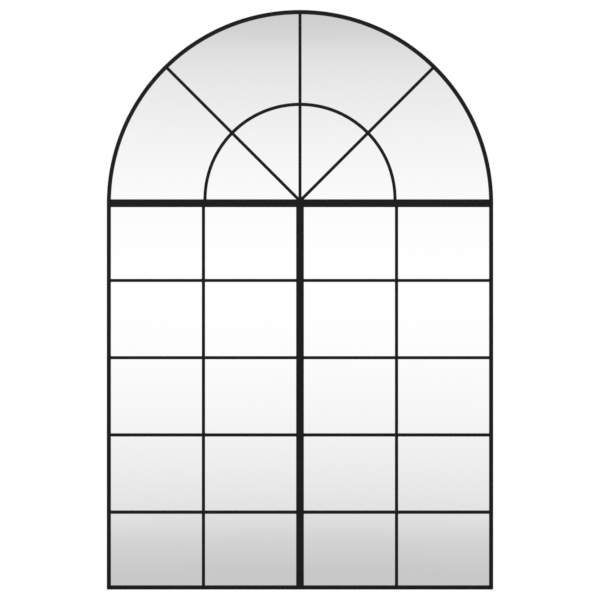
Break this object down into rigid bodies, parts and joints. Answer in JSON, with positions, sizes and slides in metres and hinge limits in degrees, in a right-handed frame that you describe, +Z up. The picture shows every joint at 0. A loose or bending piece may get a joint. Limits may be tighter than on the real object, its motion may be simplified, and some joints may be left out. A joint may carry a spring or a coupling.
{
  "type": "arched window mirror",
  "caption": "Arched wall mirror styled as a steel window: angle frame, flat glazing bars and a spoked fan over mirror glass, board back and swinging hanger rings.",
  "frame": {"origin": "middle of the springline, level with the pivots of the two hanging rings, on the plane of the frame's rear edge", "axes": "+X to the viewer's right, +Y back to the wall, +Z up; the mirror faces -Y"},
  "size_m": [1, 0.027, 1.5],
  "materials": {
    "black_paint": "satin near-black powder coat",
    "mirror_glass": "clear float glass silvered on its back",
    "fibreboard": "bare medium-density fibreboard",
    "zinc_plate": "bright zinc-plated steel",
    "rubber": "matt black rubber"
  },
  "bodies": {
    "mirror": {"arch_rim": "black_paint", "left_stile": "black_paint", "right_stile": "black_paint", "bottom_rail": "black_paint", "transom": "black_paint", "mullion": "black_paint", "left_upright_bar_1": "black_paint", "right_upright_bar_1": "black_paint", "left_level_bar_1": "black_paint", "left_level_bar_2": "black_paint", "left_level_bar_3": "black_paint", "left_level_bar_4": "black_paint", "right_level_bar_1": "black_paint", "right_level_bar_2": "black_paint", "right_level_bar_3": "black_paint", "right_level_bar_4": "black_paint", "fan_arc": "black_paint", "fan_spoke_1": "black_paint", "fan_spoke_2": "black_paint", "fan_spoke_3": "black_paint", "tab_arch_1": "black_paint", "tab_arch_2": "black_paint", "tab_arch_3": "black_paint", "tab_left_1": "black_paint", "tab_right_1": "black_paint", "tab_left_2": "black_paint", "tab_right_2": "black_paint", "tab_left_3": "black_paint", "tab_right_3": "black_paint", "tab_foot_1": "black_paint", "tab_foot_2": "black_paint", "fanlight_mirror": "mirror_glass", "left_mirror": "mirror_glass", "right_mirror": "mirror_glass", "backing_board": "fibreboard", "tab_screw_arch_1": "zinc_plate", "tab_screw_arch_2": "zinc_plate", "tab_screw_arch_3": "zinc_plate", "tab_screw_left_1": "zinc_plate", "tab_screw_right_1": "zinc_plate", "tab_screw_left_2": "zinc_plate", "tab_screw_right_2": "zinc_plate", "tab_screw_left_3": "zinc_plate", "tab_screw_right_3": "zinc_plate", "tab_screw_foot_1": "zinc_plate", "tab_screw_foot_2": "zinc_plate", "left_hanger_screw_1": "zinc_plate", "left_hanger_screw_2": "zinc_plate", "right_hanger_screw_1": "zinc_plate", "right_hanger_screw_2": "zinc_plate", "left_hanger_strap": "zinc_plate", "right_hanger_strap": "zinc_plate", "left_bumper": "rubber", "right_bumper": "rubber"},
    "left_ring": {"left_hanger_ring": "zinc_plate"},
    "right_ring": {"right_hanger_ring": "zinc_plate"}
  },
  "joints": [
    {"name": "left_ring_swing", "type": "hinge", "parent": "mirror", "child": "left_ring", "pos_m": [-0.38, -0.0052, 0], "axis": [1, 0, 0], "range_deg": [0, 180]},
    {"name": "right_ring_swing", "type": "hinge", "parent": "mirror", "child": "right_ring", "pos_m": [0.38, -0.0052, 0], "axis": [1, 0, 0], "range_deg": [0, 180]}
  ]
}
